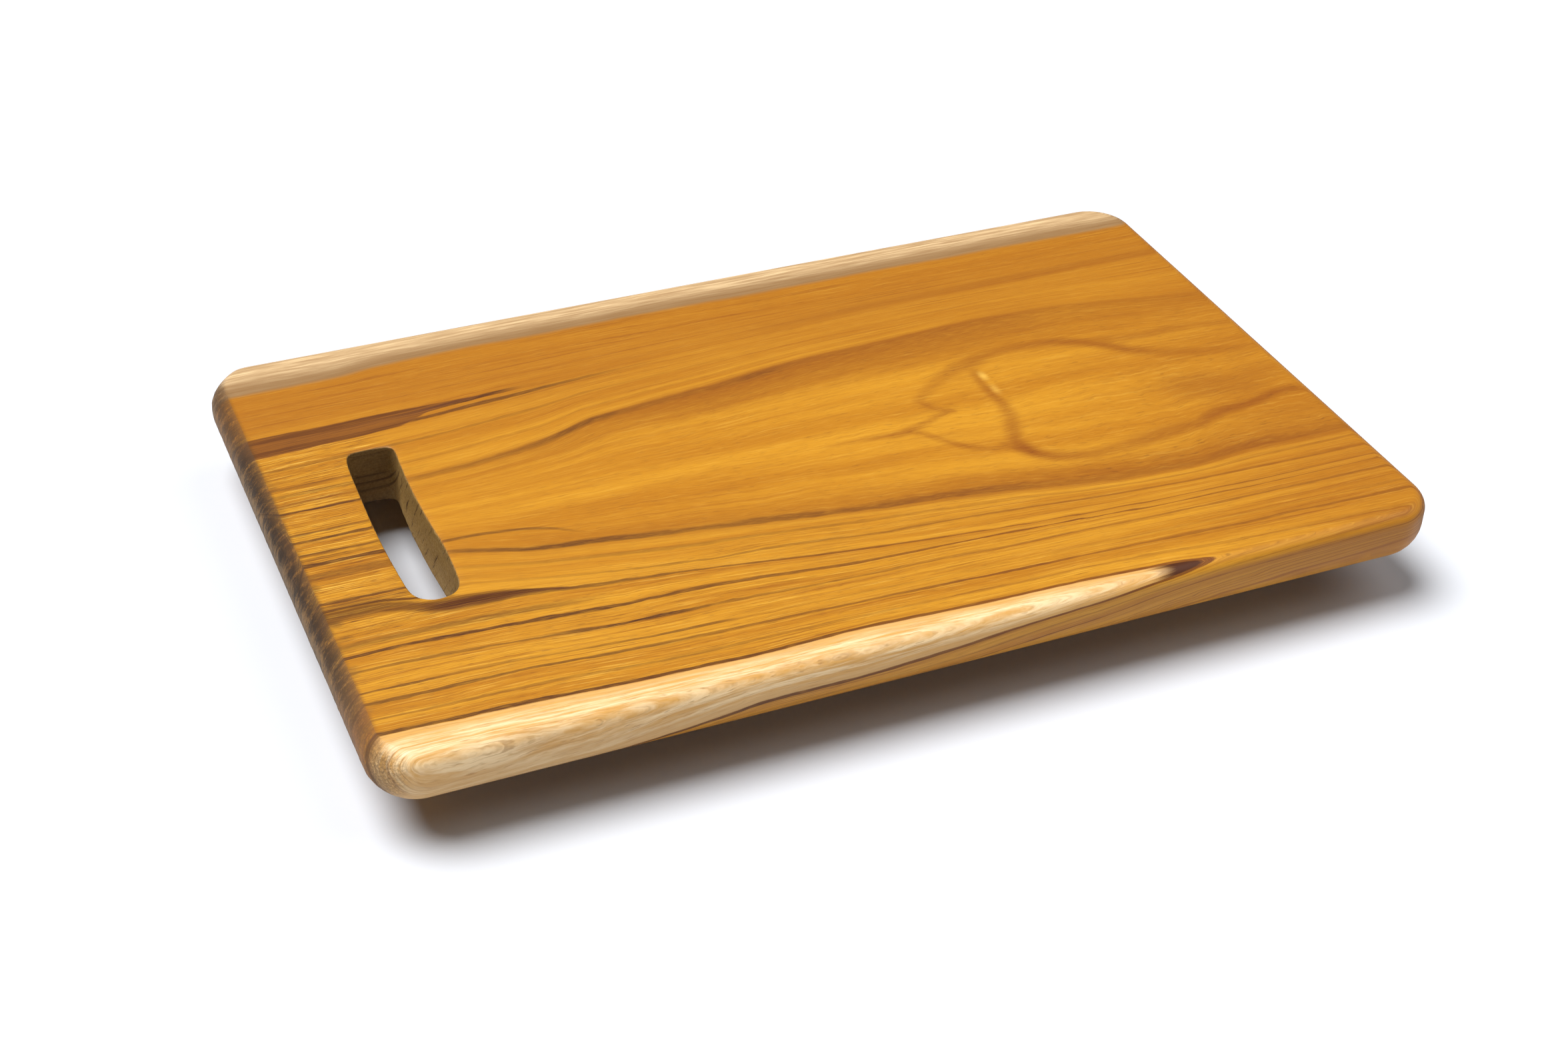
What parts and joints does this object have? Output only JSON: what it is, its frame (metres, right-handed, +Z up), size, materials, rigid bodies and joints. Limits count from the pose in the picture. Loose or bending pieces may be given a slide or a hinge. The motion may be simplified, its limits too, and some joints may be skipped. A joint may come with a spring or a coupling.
{
  "type": "cutting board",
  "caption": "Rectangular wooden cutting board with rounded corners and a hand slot near one end, standing on rubber feet screwed to its underside.",
  "frame": {"origin": "on the surface the feet stand on, under the middle of the board", "axes": "+X along the grain and the long side, away from the hand slot; +Y across the board; +Z up, out of the working face"},
  "size_m": [0.4, 0.25, 0.04],
  "materials": {
    "oiled_teak": "satin",
    "foot_rubber": "matte",
    "washer_steel": "satin",
    "screw_steel": "satin"
  },
  "bodies": {
    "root": {"plank": "oiled_teak", "foot_slot_front": "foot_rubber", "washer_slot_front": "washer_steel", "screw_slot_front": "screw_steel", "foot_slot_back": "foot_rubber", "washer_slot_back": "washer_steel", "screw_slot_back": "screw_steel", "foot_plain_front": "foot_rubber", "washer_plain_front": "washer_steel", "screw_plain_front": "screw_steel", "foot_plain_back": "foot_rubber", "washer_plain_back": "washer_steel", "screw_plain_back": "screw_steel"}
  },
  "joints": []
}
